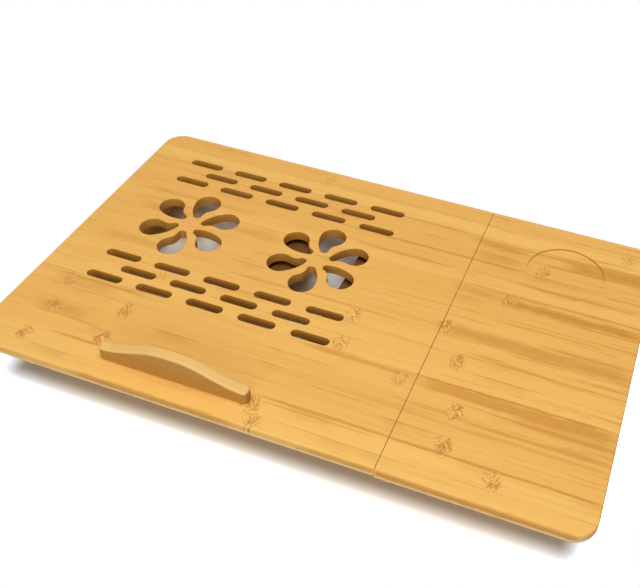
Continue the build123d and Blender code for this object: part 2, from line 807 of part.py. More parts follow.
def leg(side, end):
    """One folded leg: side is -1 for the left frame, end is -1 for the front."""
    with BuildPart() as piece:
        with BuildSketch(Plane.XZ.offset(leg_width / 2 - from_rail(end, leg_inset))):
            with Locations((side * pivot_x, pivot_z)):
                Circle(leg_height / 2)
            middle_x = side * (pivot_x - (leg_reach - pad_thickness) / 2)
            with Locations((middle_x, pivot_z)):
                Rectangle(leg_reach - pad_thickness, leg_height)
        extrude(amount=-leg_width)
        fillet(piece.edges().filter_by(Axis.X), leg_ease)
        with BuildSketch(Plane.XZ):
            with Locations((side * pivot_x, pivot_z)):
                Circle(bolt_radius + bolt_fit)
        extrude(amount=top_depth, both=True, mode=Mode.SUBTRACT)
        screw_holes(stretcher_spots(side), frame_screw_size)
    return piece


def stretcher_spots(side):
    """Places of the screws through a leg frame's legs into its stretcher."""
    x = side * (pivot_x - stretcher_reach)
    z = leg_floor_gap + stretcher_thickness / 2
    spots = []
    for end, rotation in ((-1, front_facing), (1, back_facing)):
        for step in (-1, 1):
            place = (x + step * stretcher_width / 4, from_rail(end, leg_outer_inset), z)
            spots.append(Location(place, rotation))
    return spots


def stretcher(side):
    """Cross bar between a pair of legs."""
    x = side * (pivot_x - stretcher_reach)
    with BuildPart() as piece:
        box_between(
            (x - stretcher_width / 2, from_rail(-1, leg_inner_inset), leg_floor_gap),
            (x + stretcher_width / 2, from_rail(1, leg_inner_inset), leg_floor_gap + stretcher_thickness),
        )
        fillet(piece.edges().filter_by(Axis.Y), leg_ease)
        screw_holes(stretcher_spots(side), frame_screw_size)
    return piece


def foot_pads(side):
    """Rubber pads glued to the ends of a pair of legs."""
    x = side * (pivot_x - leg_reach + pad_thickness / 2)
    with BuildPart() as pads:
        with Locations(*[(x, from_rail(end, leg_inset), pivot_z) for end in (-1, 1)]):
            Box(pad_thickness, leg_width, leg_height)
        fillet(pads.edges().filter_by(Axis.X), leg_ease)
    return pads


def leg_screws(side):
    """Screws of one leg frame."""
    with BuildPart() as screws:
        with Locations(*stretcher_spots(side)):
            add(frame_screw)
    return screws


pivots = [(side * pivot_x, end) for side in (-1, 1) for end in (-1, 1)]

with BuildPart() as leg_pivot_bolts:
    for x, end in pivots:
        with BuildSketch(Plane.XZ.offset(-from_rail(end, 0))):
            with Locations((x, pivot_z)):
                Circle(bolt_radius)
        extrude(amount=end * bolt_length)
        with BuildSketch(Plane.XZ.offset(-from_rail(end, 0))):
            with Locations((x, pivot_z)):
                Circle(bolt_head_radius)
        extrude(amount=-end * bolt_head_height, taper=bolt_head_taper)
        with BuildSketch(Plane.XZ.offset(-from_rail(end, -bolt_head_height))):
            with Locations((x, pivot_z)):
                RegularPolygon(bolt_socket_radius, 6)
        extrude(amount=end * bolt_socket_depth, mode=Mode.SUBTRACT)

with BuildPart() as leg_pivot_nuts:
    for x, end in pivots:
        with BuildSketch(Plane.XZ.offset(-from_rail(end, nut_inset))):
            with Locations((x, pivot_z)):
                RegularPolygon(nut_across_flats / 2, 6, major_radius=False)
                Circle(bolt_radius + screw_fit, mode=Mode.SUBTRACT)
        extrude(amount=end * nut_thickness)

with BuildPart() as leg_washers:
    for x, end in pivots:
        for inset in (rail_thickness, leg_inner_inset + side_play):
            with BuildSketch(Plane.XZ.offset(-from_rail(end, inset))):
                with Locations((x, pivot_z)):
                    Circle(washer_radius)
                    Circle(bolt_radius + bolt_fit, mode=Mode.SUBTRACT)
            extrude(amount=end * washer_thickness)

os.makedirs("parts", exist_ok=True)
pieces = {
    "front_rail": front_rail,
    "back_rail": back_rail,
    "left_end_rail": left_end_rail,
    "right_end_rail": right_end_rail,
    "inner_rail": inner_rail,
    "seam_batten": seam_batten,
    "front_runner": front_runner,
    "back_runner": back_runner,
    "rack_board": rack_board,
    "fixed_panel": fixed_panel,
    "frame_screws": frame_screws,
    "runner_screws": runner_screws,
    "panel_screws": panel_screws,
    "panel_dowels": panel_dowels,
    "tilt_hinge_rail_leaves": tilt_hinge_rail_leaves,
    "tilt_hinge_pins": tilt_hinge_pins,
    "rail_hinge_screws": rail_hinge_screws,
    "leg_pivot_bolts": leg_pivot_bolts,
    "leg_pivot_nuts": leg_pivot_nuts,
    "leg_washers": leg_washers,
    "tilting_panel": tilting_panel,
    "tilt_hinge_panel_leaves": tilt_hinge_panel_leaves,
    "prop_hinge_panel_leaves": prop_hinge_panel_leaves,
    "prop_hinge_pins": prop_hinge_pins,
    "panel_hinge_screws": panel_hinge_screws,
    "prop_board": prop_board,
    "prop_hinge_prop_leaves": prop_hinge_prop_leaves,
    "prop_hinge_screws": prop_hinge_screws,
    "stop_bar": stop_bar,
    "stop_bar_pegs": stop_bar_pegs,
    "drawer_front": drawer_front,
    "drawer_front_side": drawer_front_side,
    "drawer_back_side": drawer_back_side,
    "drawer_back": drawer_back,
    "drawer_floor": drawer_floor,
    "drawer_brads": drawer_brads,
    "drawer_knob": drawer_knob,
    "drawer_knob_screw": drawer_knob_screw,
}
for word, side in (("left", -1), ("right", 1)):
    pieces[f"{word}_front_leg"] = leg(side, -1)
    pieces[f"{word}_back_leg"] = leg(side, 1)
    pieces[f"{word}_stretcher"] = stretcher(side)
    pieces[f"{word}_foot_pads"] = foot_pads(side)
    pieces[f"{word}_leg_screws"] = leg_screws(side)

for name, piece in pieces.items():
    save(piece, name)
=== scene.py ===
import bmesh
import bpy
import json
from mathutils import Matrix, Vector


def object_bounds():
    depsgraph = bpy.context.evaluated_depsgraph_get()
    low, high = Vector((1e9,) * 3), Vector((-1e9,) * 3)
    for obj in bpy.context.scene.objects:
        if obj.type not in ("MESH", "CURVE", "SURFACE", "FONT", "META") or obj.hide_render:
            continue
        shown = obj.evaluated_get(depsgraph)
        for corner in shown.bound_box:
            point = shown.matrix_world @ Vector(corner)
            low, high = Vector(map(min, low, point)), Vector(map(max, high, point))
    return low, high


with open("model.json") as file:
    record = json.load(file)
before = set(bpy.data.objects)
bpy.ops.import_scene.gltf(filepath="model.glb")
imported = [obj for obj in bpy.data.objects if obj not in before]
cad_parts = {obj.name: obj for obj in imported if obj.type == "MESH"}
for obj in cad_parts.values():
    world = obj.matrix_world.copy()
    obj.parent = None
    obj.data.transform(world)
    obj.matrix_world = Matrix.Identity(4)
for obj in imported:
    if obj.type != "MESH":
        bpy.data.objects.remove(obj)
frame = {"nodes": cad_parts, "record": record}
nodes = frame["nodes"]
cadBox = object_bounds()
print("stage 1: frame loaded,", len(nodes), "nodes")

mm = 1000.0  # the recipes below count in millimetres


class Wire:
    # A socket that takes part in expressions. Each operator adds the Math node it stands for.
    def __init__(self, recipe, socket):
        self.recipe = recipe
        self.socket = socket

    def __add__(self, other):
        return self.recipe.math("ADD", self, other)

    def __sub__(self, other):
        return self.recipe.math("SUBTRACT", self, other)

    def __rsub__(self, other):
        return self.recipe.math("SUBTRACT", other, self)

    def __mul__(self, other):
        return self.recipe.math("MULTIPLY", self, other)

    def __truediv__(self, other):
        return self.recipe.math("DIVIDE", self, other)

    def __pow__(self, other):
        return self.recipe.math("POWER", self, other)

    def __mod__(self, other):
        return self.recipe.math("FLOORED_MODULO", self, other)

    def __abs__(self):
        return self.recipe.math("ABSOLUTE", self)

    __radd__ = __add__
    __rmul__ = __mul__


class Recipe:
    # The nodes of one material or world. Each of them comes from the method node.
    def __init__(self, owner):
        owner.use_nodes = True
        self.owner = owner
        self.tree = owner.node_tree
        self.tree.nodes.clear()

    def node(self, kind, settings=None, inputs=None, output=0):
        made = self.tree.nodes.new("ShaderNode" + kind)
        for word, choice in (settings or {}).items():
            setattr(made, word, choice)
        for place, value in (inputs or {}).items():
            if isinstance(value, Wire):
                self.tree.links.new(value.socket, made.inputs[place])
            else:
                made.inputs[place].default_value = value
        return Wire(self, made.outputs[output]) if len(made.outputs) else made

    def math(self, operation, *values):
        return self.node("Math", {"operation": operation}, dict(enumerate(values)))

    def place(self):
        # Object coordinates in millimetres, as three wires
        coords = self.node("TexCoord", output="Object")
        return {axis: self.node("SeparateXYZ", None, {0: coords}, axis) * mm for axis in "XYZ"}

    def facing(self):
        # How far a surface turns towards each axis, from 0 to 1
        normal = self.node("TexCoord", output="Normal")
        return {axis: abs(self.node("SeparateXYZ", None, {0: normal}, axis)) for axis in "XYZ"}

    def vector(self, x, y, z):
        return self.node("CombineXYZ", None, {0: x, 1: y, 2: z})

    def noise(self, vector, detail=2.0, roughness=0.5, distortion=0.0):
        inputs = {"Vector": vector, "Scale": 1.0}
        inputs.update({"Detail": detail, "Roughness": roughness, "Distortion": distortion})
        return self.node("TexNoise", {"noise_dimensions": "3D"}, inputs)

    def grain(self, place, scales, *noise):
        # Noise on the object coordinates, with a scale for each axis
        scaled = (place[axis] * scale for axis, scale in zip("XYZ", scales))
        return self.noise(self.vector(*scaled), *noise)

    def chance(self, wire):
        # A random number from 0 to 1 for each whole number
        return self.node("TexWhiteNoise", {"noise_dimensions": "1D"}, {"W": wire})

    def ease(self, wire, start, end):
        # 0 at start and 1 at end, smooth between them
        inputs = {"Value": wire, "From Min": start, "From Max": end}
        return self.node("MapRange", {"interpolation_type": "SMOOTHSTEP"}, inputs)

    def blend(self, amount, below, above):
        # Sockets 6 and 7 take the two colours, and output 2 gives the mixed one
        settings = {"data_type": "RGBA", "clamp_factor": True}
        return self.node("Mix", settings, {"Factor": amount, 6: below, 7: above}, 2)

    def finish(self, look, color, roughness, height, **constants):
        # Principled surface, with a bump as deep as the look says, in metres
        bump = {"Strength": 1.0, "Distance": look["bumpDepth"], "Height": height}
        inputs = {"Base Color": color, "Roughness": roughness, "Normal": self.node("Bump", None, bump)}
        inputs.update(constants)
        surface = self.node("BsdfPrincipled", None, inputs)
        self.node("OutputMaterial", None, {"Surface": surface})
        return self.owner


def rgb(red, green, blue):
    # Screen colour, 0 to 255, to the linear one that sockets take
    linear = []
    for part in (red, green, blue):
        part = part / 255
        linear.append(part / 12.92 if part <= 0.04045 else ((part + 0.055) / 1.055) ** 2.4)
    return (*linear, 1.0)


# Flat-pressed bamboo, in strips glued side by side, with sizes in millimetres and bumpDepth in metres.
# A Grain is how fine the pattern is along and across a strip, where it lies in the noise, and the noise's
# detail, roughness and distortion. Shows is from where to where a pattern comes in, and Ink how strong it is.
bambooLook = {
    "light": rgb(243, 190, 101), "warm": rgb(232, 172, 84),
    "streak": rgb(201, 138, 50), "fibre": rgb(203, 141, 54), "line": rgb(140, 86, 30),
    "mark": rgb(182, 106, 14), "markGround": rgb(246, 198, 116),
    "core": rgb(250, 212, 146), "endGrain": rgb(150, 104, 54),
    "cutWallAndShade": rgb(206, 148, 62), "cupWallShade": rgb(184, 130, 62),
    "stripWidth": 18.25, "stripStart": -142.0, "seedStep": 7.0, "longestShift": 700.0, "slope": 0.7,
    "toneByStrip": 0.7, "toneByCloud": 0.7, "toneDrop": 0.3,
    "cloudGrain": (0.006, 0.09, 0.0, 2.0, 0.5, 0.0), "cloudShows": (0.44, 0.64),
    "featherGrain": (0.05, 0.3, 1.7, 4.0, 0.72, 0.4),
    "bandGrain": (0.0075, 0.22, 3.1, 1.5, 0.45, 0.5), "bandShows": (0.53, 0.72),
    "bandFray": 0.4, "bandInk": 0.45,
    "veinGrain": (0.026, 0.42, 6.7, 4.0, 0.62, 0.8), "veinShows": (0.61, 0.77),
    "veinFray": 0.2, "veinInk": 0.2, "veinInkLively": 0.6,
    "fibreGrain": (0.09, 1.1, 9.9, 3.0, 0.7, 0.0), "fibreShows": (0.48, 0.80),
    "fibreInk": 0.10, "fibreInkLively": 0.14,
    "jointShows": (0.7, 0.1), "jointPatches": (0.46, 0.62), "jointInk": 0.55, "patchLength": 0.014,
    "leanShows": (0.3, 1.0), "leanPatches": (0.52, 0.70), "leanInk": 0.35,
    "dotScale": 2.4, "dotShows": (0.45, 0.62), "dotInk": 0.6, "endInk": 0.15, "endFacing": (0.55, 0.9),
    "roughness": 0.39, "roughnessByFibre": 0.14, "roughnessByMark": 0.1,
    "bumpDepth": 0.00012, "fibreBump": 0.4, "veinBump": 0.25, "jointBump": 0.6, "markBump": 0.5,
    "gloss": {"IOR": 1.45, "Specular IOR Level": 0.3},
}

# Factors and starts that keep the draws of one strip apart from each other
draws = {
    "tone": 1.37, "shift": 2.11, "shiftStart": 40.0, "layer": 5.3, "patch": 3.7,
    "ring": 3.3, "ringStart": 9.0,
}

# Growth rings of the stalk: short crossing strokes inside a ragged patch
ringLook = {
    "halfAlong": 8.0, "halfAcross": 10.5, "edge": (1.2, 0.2), "raggedScale": 0.28, "ragged": 3.0,
    "strayPitch": 265.0, "strayEdge": 0.4, "strayRagged": 6.0, "strayInk": 0.8,
    "groundInk": 0.4, "strokeInk": 0.75,
    "strokes": ((0.80, 0.60), (-0.85, 0.52)), "thin": 0.6, "long": 0.11,
    "strokeNoise": (2.0, 0.55, 0.7), "strokeShows": (0.51, 0.57),
}

# Their places on the table top, in millimetres: along, across and how dark
topMarks = (
    (-235, -78, 0.6), (-165, -96, 0.9), (-230, -115, 0.8), (-167, -133, 1.0), (-232, -151, 0.9),
    (-160, -42, 0.5), (25, -23, 0.8), (27, -60, 0.8), (90, -78, 0.6), (-13, -150, 0.9), (-5, -167, 0.9),
    (108, -5, 1.0), (130, -42, 0.9), (145, -96, 1.0), (145, -133, 1.0), (191, -151, 1.0),
    (152, 49, 0.9), (172, 104, 0.8), (248, 152, 0.6), (-57, 122, 0.4), (-75, 158, 0.4),
)

# Darker stretches of the table top: from, to, across, half width and how dark
topStains = (
    (150, 275, 47, 6.5, 1.0), (100, 150, 50, 7.5, 0.45), (110, 275, 58, 2.0, 0.4), (103, 275, -7, 9.5, 0.7),
    (200, 275, 4, 3.0, 0.4), (107, 275, -76, 7.5, 0.75), (190, 275, -84, 10.0, 0.5),
    (103, 270, -69.5, 1.3, 0.9), (100, 150, 122, 8.5, 0.6), (192, 275, 121, 9.5, 0.9),
    (104, 150, 104, 8.0, 0.45), (150, 275, -104, 1.6, 0.6), (160, 275, -111, 2.2, 0.4),
    (100, 275, -141, 1.3, 0.9), (-10, 100, -140.5, 1.5, 0.8), (-10, 90, -145, 1.0, 0.6),
    (-255, -120, 73.5, 1.0, 0.7), (-5, 90, 74.5, 2.2, 0.7), (0, 150, 94, 1.8, 0.7),
    (150, 270, 76, 1.6, 0.6),
    (-250, -185, -7, 7.0, 0.4), (-100, 60, -13, 1.4, 0.5), (-235, -185, 47, 6.5, 0.6),
    (-135, -75, 46, 5.5, 0.4), (0, 95, -73, 3.5, 0.7), (-250, -165, -73, 1.6, 0.8),
    (-250, -190, -80, 6.0, 0.5), (-245, -195, -114, 8.5, 0.5), (15, 100, 131, 1.8, 0.6),
    (-210, -150, -141.5, 1.3, 0.7), (150, 250, 20, 1.4, 0.5), (-215, -170, -33, 1.6, 0.4),
    (40, 100, 21, 1.2, 0.4), (-240, -180, -122, 1.2, 0.6), (205, 270, 40, 1.2, 0.4),
    (130, 275, -33, 1.3, 0.5), (15, 80, -115, 1.0, 0.4), (-170, -20, -174, 1.4, 0.7),
    (40, 270, -175, 1.6, 0.7), (-255, -190, 62, 3.0, 0.3),
)

# How a stretch begins and ends along the strip, frays at its sides, and takes its ink from the grain
stainLook = {
    "start": (-10.0, 16.0), "end": (12.0, -16.0),
    "fray": 1.0, "frayByWidth": 2.6, "outer": 0.6, "inner": 0.35,
    "fibreInk": 0.7, "featherInk": 0.9, "leastInk": 0.1,
}

# The two boards of the top: the heights of the plies, the seam, the middle and half size of the block of
# openings, the cup recess, and where the grain of the plain panel grows busier
boardLook = {
    "wallFacing": (0.75, 0.35), "raggedGrain": ((0.25, 0.25, 1.5), 3.0, 0.7),
    "coreTopZ": 52.0, "coreSoft": 0.5, "coreRagged": 0.8, "coreInk": 0.8,
    "glueZ": 52.6, "glueRagged": 1.2, "glueShows": (0.5, 0.1), "glueInk": 0.6,
    "coreLowZ": 49.2, "glueLowShows": (0.4, 0.1),
    "brokenScale": 0.06, "brokenLayer": 2.0, "brokenNoise": (3.0, 0.7), "brokenShows": (0.46, 0.58),
    "seamX": 103.0, "seamShows": (2.0, 1.0),
    "vents": {"X": (-105.0, 128.0), "Y": (35.0, 108.0)}, "ventsSoft": 4.0, "cutInk": 0.85,
    "cutSpeckShows": (0.56, 0.7), "cutSpeckInk": 0.5,
    "cupX": 192.8, "cupY": 106.8, "cupReach": 39.0, "cupSoft": 3.0,
    "busyX": (40.0, 190.0), "busyY": (-150.0, -85.0), "bandPlain": 0.4, "veinPlain": 0.4, "veinBusy": 0.4,
}


def growthRings(wood, marks, length, side, strip, layer, seed, look=ringLook):
    # The patches and the strokes in them. Without marks they lie strewn along the strips.
    scale = look["raggedScale"]
    ragged = wood.noise(wood.vector(length * scale, side * scale, layer), 2.0) - 0.5
    patch = 0.0
    if marks is None:
        pitch = look["strayPitch"]
        shift = wood.chance(strip * draws["ring"] + (seed + draws["ringStart"])) * pitch
        away = abs((length + shift) % pitch - pitch / 2) + ragged * look["strayRagged"]
        patch = wood.ease(away, look["halfAlong"], look["halfAlong"] * look["strayEdge"]) * look["strayInk"]
    for markAlong, markAcross, strength in marks or ():
        far = ((length - markAlong) / look["halfAlong"]) ** 2.0
        far = far + ((side - markAcross) / look["halfAcross"]) ** 2.0
        spot = wood.ease(far + ragged * look["ragged"], *look["edge"]) * strength
        patch = wood.math("MAXIMUM", patch, spot)
    strokes = 0.0
    for cosine, sine in look["strokes"]:
        thin = (length * cosine + side * sine) * look["thin"]
        long = (side * cosine - length * sine) * look["long"]
        stroke = wood.noise(wood.vector(thin, long, layer + sine), *look["strokeNoise"])
        strokes = wood.math("MAXIMUM", strokes, wood.ease(stroke, *look["strokeShows"]))
    return patch, strokes * patch


def boardWalls(wood, color, place, facing, look, board=boardLook):
    # A pale core under the top ply, darker walls in the openings, partly the colour of the cut and partly
    # painted shade, plain walls in the seam, and painted shade on the wall of the cup recess
    wall = wood.ease(facing["Z"], *board["wallFacing"])
    inside = wall
    for axis, (middle, half) in board["vents"].items():
        inside = inside * wood.ease(abs(place[axis] - middle), half + board["ventsSoft"], half)
    outer = wall - inside
    ragged = wood.grain(place, *board["raggedGrain"])
    coreTop = board["coreTopZ"]
    core = wood.ease(place["Z"] + ragged * board["coreRagged"], coreTop + board["coreSoft"], coreTop)
    glue = wood.ease(abs(place["Z"] + ragged * board["glueRagged"] - board["glueZ"]), *board["glueShows"])
    glueLow = wood.ease(abs(place["Z"] - board["coreLowZ"]), *board["glueLowShows"])
    glue = wood.math("MAXIMUM", glue, glueLow)
    scale = board["brokenScale"]
    broken = wood.vector(place["X"] * scale, place["Y"] * scale, board["brokenLayer"])
    broken = wood.ease(wood.noise(broken, *board["brokenNoise"]), *board["brokenShows"])
    specks = inside * wood.ease(ragged, *board["cutSpeckShows"])
    seam = wall * wood.ease(abs(place["X"] - board["seamX"]), *board["seamShows"])
    fromCup = wood.math("SQRT", (place["X"] - board["cupX"]) ** 2.0 + (place["Y"] - board["cupY"]) ** 2.0)
    ring = wall * wood.ease(fromCup, board["cupReach"] + board["cupSoft"], board["cupReach"])
    color = wood.blend(outer * core * board["coreInk"], color, look["core"])
    color = wood.blend(inside * board["cutInk"], color, look["cutWallAndShade"])
    color = wood.blend(wall * glue * broken * board["glueInk"], color, look["line"])
    color = wood.blend(specks * board["cutSpeckInk"], color, look["line"])
    color = wood.blend(seam, color, look["light"])
    return wood.blend(ring, color, look["cupWallShade"])


def bamboo(name, along, across, seed, marks=None, stains=(), board=None, look=bambooLook):
    # along is the way the fibres run, and across is the way the strips lie side by side
    wood = Recipe(bpy.data.materials.new(name))
    place = wood.place()
    facing = wood.facing()
    through = ({"X", "Y", "Z"} - {along, across}).pop()
    length, side, deep = place[along], place[across], place[through]
    strips = (side - (look["stripStart"] + seed * look["seedStep"])) / look["stripWidth"]
    strip = wood.math("FLOOR", strips)
    inStrip = strips - strip
    shift = wood.chance(strip * draws["shift"] + (seed + draws["shiftStart"])) * look["longestShift"]
    run = length + shift
    cross = side + deep * look["slope"]
    layer = strip * draws["layer"] + seed

    def grainOf(kind):
        fineAlong, fineAcross, start, *noise = look[kind + "Grain"]
        return wood.noise(wood.vector(run * fineAlong, cross * fineAcross, layer + start), *noise)

    # Broad bands, veins and single fibres, each drawn out along the strip
    kinds = ("cloud", "band", "vein", "fibre", "feather")
    cloud, band, vein, fibre, feather = (grainOf(kind) for kind in kinds)
    fray = feather - 0.5
    lively = wood.ease(cloud, *look["cloudShows"])  # 0 where the wood is plain, 1 where it is streaky
    bandInk = wood.ease(band + fray * look["bandFray"], *look["bandShows"]) * look["bandInk"]
    veinInk = wood.ease(vein + fray * look["veinFray"], *look["veinShows"])
    veinInk = veinInk * (lively * look["veinInkLively"] + look["veinInk"])
    fibreInk = wood.ease(fibre, *look["fibreShows"]) * (lively * look["fibreInkLively"] + look["fibreInk"])
    if board:
        # The plain panel is the busier one, apart from its front
        busy = wood.ease(place["X"], *board["busyX"]) * wood.ease(place["Y"], *board["busyY"])
        bandInk = bandInk * (busy + board["bandPlain"])
        veinInk = veinInk * (busy * board["veinBusy"] + board["veinPlain"])
    tone = wood.chance(strip * draws["tone"] + seed)
    tone = tone * look["toneByStrip"] + cloud * look["toneByCloud"] - look["toneDrop"]
    color = wood.blend(tone, look["light"], look["warm"])
    color = wood.blend(bandInk, color, look["streak"])
    color = wood.blend(veinInk, color, look["streak"])
    color = wood.blend(fibreInk, color, look["fibre"])

    # Glue joints between strips, dark only here and there, and strips that darken towards one side
    fromJoint = wood.math("MINIMUM", inStrip, 1.0 - inStrip) * look["stripWidth"]
    patchy = wood.noise(wood.vector(length * look["patchLength"], strip * draws["patch"] + seed, 0.0), 2.0)
    joint = wood.ease(fromJoint, *look["jointShows"]) * wood.ease(patchy, *look["jointPatches"])
    lean = wood.ease(inStrip, *look["leanShows"]) * wood.ease(patchy, *look["leanPatches"])
    color = wood.blend(joint * look["jointInk"], color, look["line"])
    color = wood.blend(lean * look["leanInk"], color, look["streak"])

    stainInk = fibre * stainLook["fibreInk"] + feather * stainLook["featherInk"] + stainLook["leastInk"]
    for first, last, middle, half, strength in stains:
        reach = wood.ease(length, *(first + soft for soft in stainLook["start"]))
        reach = reach * wood.ease(length, *(last + soft for soft in stainLook["end"]))
        edge = abs(side - middle) + fray * (half * stainLook["frayByWidth"] + stainLook["fray"])
        reach = reach * wood.ease(edge, half + stainLook["outer"], half * stainLook["inner"])
        color = wood.blend(reach * stainInk * strength, color, look["streak"])

    patch, markInk = growthRings(wood, marks, length, side, strip, layer, seed)
    color = wood.blend(patch * ringLook["groundInk"], color, look["markGround"])
    color = wood.blend(markInk * ringLook["strokeInk"], color, look["mark"])
    # Painted light: faces turned up take a paler colour than the painted-shade sides
    if "paintedLightTopColor" in look:
        upFacingLight = wood.ease(facing["Z"], *look["paintedLightTopFacing"])
        color = wood.blend(upFacingLight * look["paintedLightTopInk"], color, look["paintedLightTopColor"])

    # Cut ends show the dark dots of the vessels
    dots = wood.noise(wood.vector(side * look["dotScale"], deep * look["dotScale"], 0.0), 1.0)
    cutInk = wood.ease(dots, *look["dotShows"]) * look["dotInk"] + look["endInk"]
    color = wood.blend(wood.ease(facing[along], *look["endFacing"]) * cutInk, color, look["endGrain"])
    if board:
        color = boardWalls(wood, color, place, facing, look, board)

    height = fibre * look["fibreBump"] + vein * look["veinBump"]
    height = height - joint * look["jointBump"] - markInk * look["markBump"]
    roughness = fibre * look["roughnessByFibre"] + markInk * look["roughnessByMark"] + look["roughness"]
    return wood.finish(look, color, roughness, height, **look["gloss"])


# Zinc-plated screws, bolts, nuts and washers
steelLook = {
    "light": rgb(206, 204, 198), "dark": rgb(150, 148, 144), "yellowed": rgb(196, 186, 158),
    "fine": ((1.3, 1.3, 1.3), 4.0, 0.65), "fineShows": (0.35, 0.7),
    "cloud": ((0.12, 0.12, 0.12), 2.0), "yellowShows": (0.45, 0.7), "yellowInk": 0.5,
    "roughness": 0.22, "roughnessByGrain": 0.2, "bumpDepth": 0.00004,
}


def steel(name, look=steelLook):
    metal = Recipe(bpy.data.materials.new(name))
    place = metal.place()
    fine = metal.grain(place, *look["fine"])
    cloud = metal.grain(place, *look["cloud"])
    color = metal.blend(metal.ease(fine, *look["fineShows"]), look["light"], look["dark"])
    yellow = metal.ease(cloud, *look["yellowShows"]) * look["yellowInk"]
    color = metal.blend(yellow, color, look["yellowed"])
    roughness = fine * look["roughnessByGrain"] + look["roughness"]
    return metal.finish(look, color, roughness, fine, Metallic=1.0)


# Brass-plated hinges, brushed along the pin
brassLook = {
    "light": rgb(222, 186, 112), "dark": rgb(160, 118, 58), "tarnish": rgb(120, 92, 56),
    "brushed": ((0.2, 4.0, 4.0), 3.0, 0.6),
    "cloud": ((0.15, 0.15, 0.15), 3.0), "tarnishShows": (0.55, 0.75), "tarnishInk": 0.45,
    "roughness": 0.2, "roughnessByGrain": 0.22, "bumpDepth": 0.00003,
}


def brass(name, look=brassLook):
    metal = Recipe(bpy.data.materials.new(name))
    place = metal.place()
    brushed = metal.grain(place, *look["brushed"])
    cloud = metal.grain(place, *look["cloud"])
    color = metal.blend(brushed, look["light"], look["dark"])
    tarnish = metal.ease(cloud, *look["tarnishShows"]) * look["tarnishInk"]
    color = metal.blend(tarnish, color, look["tarnish"])
    roughness = brushed * look["roughnessByGrain"] + look["roughness"]
    return metal.finish(look, color, roughness, brushed, Metallic=1.0)


# Rubber foot pads, with a moulded grain
rubberLook = {
    "light": rgb(62, 60, 58), "dark": rgb(34, 33, 32),
    "grain": ((2.5, 2.5, 2.5), 3.0, 0.7), "dust": ((0.3, 0.3, 0.3), 2.0), "dustShows": (0.35, 0.75),
    "roughness": 0.65, "roughnessByGrain": 0.2, "bumpDepth": 0.00015,
}


def rubber(name, look=rubberLook):
    pad = Recipe(bpy.data.materials.new(name))
    place = pad.place()
    grain = pad.grain(place, *look["grain"])
    dust = pad.grain(place, *look["dust"])
    color = pad.blend(pad.ease(dust, *look["dustShows"]), look["dark"], look["light"])
    return pad.finish(look, color, grain * look["roughnessByGrain"] + look["roughness"], grain)


# Beech of the dowels and pegs
beechLook = {
    "light": rgb(226, 190, 146), "dark": rgb(190, 146, 100), "fleck": rgb(150, 104, 64),
    "grain": ((1.2, 1.2, 0.12), 4.0, 0.6),
    "flecks": ((3.0, 3.0, 0.6), 1.0), "fleckShows": (0.6, 0.72), "fleckInk": 0.6,
    "roughness": 0.48, "roughnessByGrain": 0.15, "bumpDepth": 0.0001,
}


def beech(name, look=beechLook):
    wood = Recipe(bpy.data.materials.new(name))
    place = wood.place()
    grain = wood.grain(place, *look["grain"])
    flecks = wood.grain(place, *look["flecks"])
    color = wood.blend(grain, look["light"], look["dark"])
    color = wood.blend(wood.ease(flecks, *look["fleckShows"]) * look["fleckInk"], color, look["fleck"])
    return wood.finish(look, color, grain * look["roughnessByGrain"] + look["roughness"], grain)


print("stage 2: recipes ready")

# Wooden pieces: the way the fibres run, the way the strips lie, and a seed for their pattern
woodPieces = {
    "stop_bar": ("X", "Z", 3), "front_rail": ("X", "Z", 5), "back_rail": ("X", "Z", 6),
    "left_end_rail": ("Y", "Z", 7), "right_end_rail": ("Y", "Z", 8), "inner_rail": ("Y", "Z", 9),
    "seam_batten": ("Y", "X", 10), "front_runner": ("X", "Z", 11), "back_runner": ("X", "Z", 12),
    "rack_board": ("Y", "X", 13), "prop_board": ("Y", "X", 14), "drawer_front": ("Y", "Z", 15),
    "drawer_front_side": ("X", "Z", 16), "drawer_back_side": ("X", "Z", 17), "drawer_back": ("Y", "Z", 18),
    "drawer_floor": ("X", "Y", 19), "drawer_knob": ("X", "Z", 20), "left_front_leg": ("X", "Z", 21),
    "left_back_leg": ("X", "Z", 22), "right_front_leg": ("X", "Z", 23), "right_back_leg": ("X", "Z", 24),
    "left_stretcher": ("Y", "X", 25), "right_stretcher": ("Y", "X", 26),
}
topPanels = ("tilting_panel", "fixed_panel")
clearPieces = ("stop_bar", "drawer_knob")  # cut between two growth rings

# The pieces inside are bamboo painted dark brown, as painted shade under the panel
insideShadeLook = dict(
    bambooLook, light=rgb(124, 82, 40), warm=rgb(108, 70, 32), streak=rgb(84, 52, 22),
    fibre=rgb(90, 58, 26), line=rgb(58, 36, 16), mark=rgb(66, 42, 18), markGround=rgb(130, 88, 44),
    endGrain=rgb(68, 44, 22))
# The stop bar is painted darker, as painted shade on its sides, and paler where it faces up, as painted light
# on its top
barLook = dict(
    bambooLook, light=rgb(198, 148, 76), warm=rgb(188, 136, 66), stripStart=-131.0,
    paintedLightTopColor=rgb(244, 199, 122), paintedLightTopFacing=(0.1, 0.45), paintedLightTopInk=0.75)
ownLooks = {"stop_bar": barLook}
ownLooks.update({node: insideShadeLook for node in ("prop_board", "rack_board", "inner_rail")})

topBamboo = bamboo("tableTopBamboo", "X", "Y", 0, topMarks, topStains, boardLook)
finishes = {"zinc_steel": steel("zincSteel"), "brass_plate": brass("brassPlate"),
            "pad_rubber": rubber("padRubber"), "dowel_wood": beech("dowelBeech")}
slotOf = {piece["node"]: piece["material_slot"] for piece in frame["record"]["subparts"]}


def dress(node, material):
    for slot in nodes[node].material_slots:
        slot.material = material


for node in nodes:
    if node in topPanels:
        dress(node, topBamboo)
    elif node in woodPieces:
        along, across, seed = woodPieces[node]
        marks = () if node in clearPieces else None
        look = ownLooks.get(node, bambooLook)
        dress(node, bamboo(node + "Bamboo", along, across, seed, marks, look=look))
    else:
        dress(node, finishes[slotOf[node]])
print("stage 3: every node dressed")

